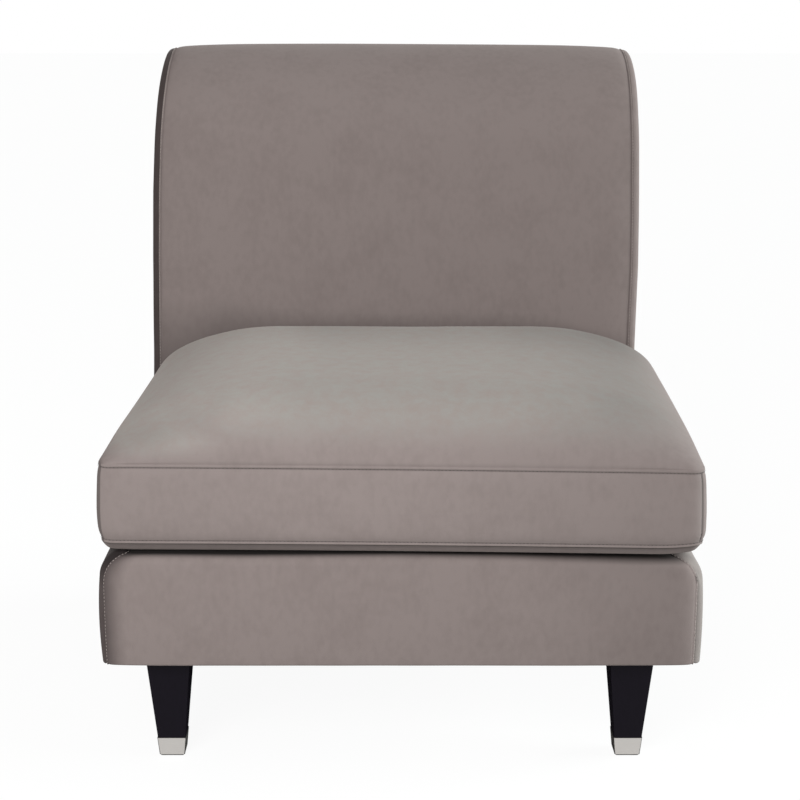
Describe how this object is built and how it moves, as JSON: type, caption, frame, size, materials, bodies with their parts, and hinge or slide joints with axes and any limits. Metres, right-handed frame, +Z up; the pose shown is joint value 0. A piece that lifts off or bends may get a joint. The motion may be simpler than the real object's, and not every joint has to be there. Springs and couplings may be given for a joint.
{
  "type": "occasional chair",
  "caption": "Armless velvet occasional chair with a rolled back, a padded base, a loose boxed seat cushion that lifts off, and tapered black legs with metal ferrules.",
  "frame": {"origin": "on the floor, in the middle of the chair's overall width and depth", "axes": "+Z up, +X to the right seen from the front, +Y from the front of the seat to the back"},
  "size_m": [0.76, 0.9086, 0.885],
  "materials": {
    "velvet": "matte",
    "deck_cloth": "matte",
    "dust_cloth": "matte",
    "webbing": "matte",
    "foam": "matte",
    "frame_wood": "matte",
    "panel_board": "matte",
    "leg_wood": "satin",
    "nickel": "satin",
    "steel": "satin",
    "spring_steel": "satin",
    "nylon": "matte",
    "zip_coil": "matte",
    "zip_metal": "satin"
  },
  "bodies": {
    "chair": {"back_foam": "foam", "back_front_cover": "velvet", "back_lower_rail": "frame_wood", "back_middle_rail": "frame_wood", "back_post_left": "frame_wood", "back_post_right": "frame_wood", "back_side_cover_left": "velvet", "back_side_cover_right": "velvet", "back_side_pad_left": "foam", "back_side_pad_right": "foam", "back_top_rail": "frame_wood", "back_webbing_1": "webbing", "back_webbing_2": "webbing", "back_webbing_3": "webbing", "base_front_cover": "velvet", "base_front_pad": "foam", "base_side_cover_left": "velvet", "base_side_cover_right": "velvet", "base_side_pad_left": "foam", "base_side_pad_right": "foam", "clip_nails": "steel", "corner_block_front_left": "frame_wood", "corner_block_front_right": "frame_wood", "corner_block_rear_left": "frame_wood", "corner_block_rear_right": "frame_wood", "deck_cover": "deck_cloth", "deck_pad": "foam", "dust_cover": "dust_cloth", "ferrule_front_left": "nickel", "ferrule_front_right": "nickel", "ferrule_rear_left": "nickel", "ferrule_rear_right": "nickel", "front_rail": "frame_wood", "glides": "nylon", "hanger_bolts": "steel", "leg_front_left": "leg_wood", "leg_front_right": "leg_wood", "leg_plates": "steel", "leg_rear_left": "leg_wood", "leg_rear_right": "leg_wood", "outside_back_cover": "velvet", "outside_back_panel": "panel_board", "plate_screws": "steel", "rear_rail": "frame_wood", "seat_spring_1": "spring_steel", "seat_spring_2": "spring_steel", "seat_spring_3": "spring_steel", "seat_spring_4": "spring_steel", "seat_spring_5": "spring_steel", "side_rail_left": "frame_wood", "side_rail_right": "frame_wood", "spring_clips": "steel"},
    "seat_cushion": {"cushion_bottom_panel": "velvet", "cushion_boxing": "velvet", "cushion_core": "foam", "cushion_top_panel": "velvet", "zip_rows": "zip_coil"},
    "zip_slider": {"zip_slider": "zip_metal"}
  },
  "joints": [
    {"name": "cushion_lift", "type": "slide", "parent": "chair", "child": "seat_cushion", "axis": [0, 0, 1], "range_m": [0, 0.65]},
    {"name": "zip_slide", "type": "slide", "parent": "seat_cushion", "child": "zip_slider", "axis": [1, 0, 0], "range_m": [0, 0.476]}
  ]
}
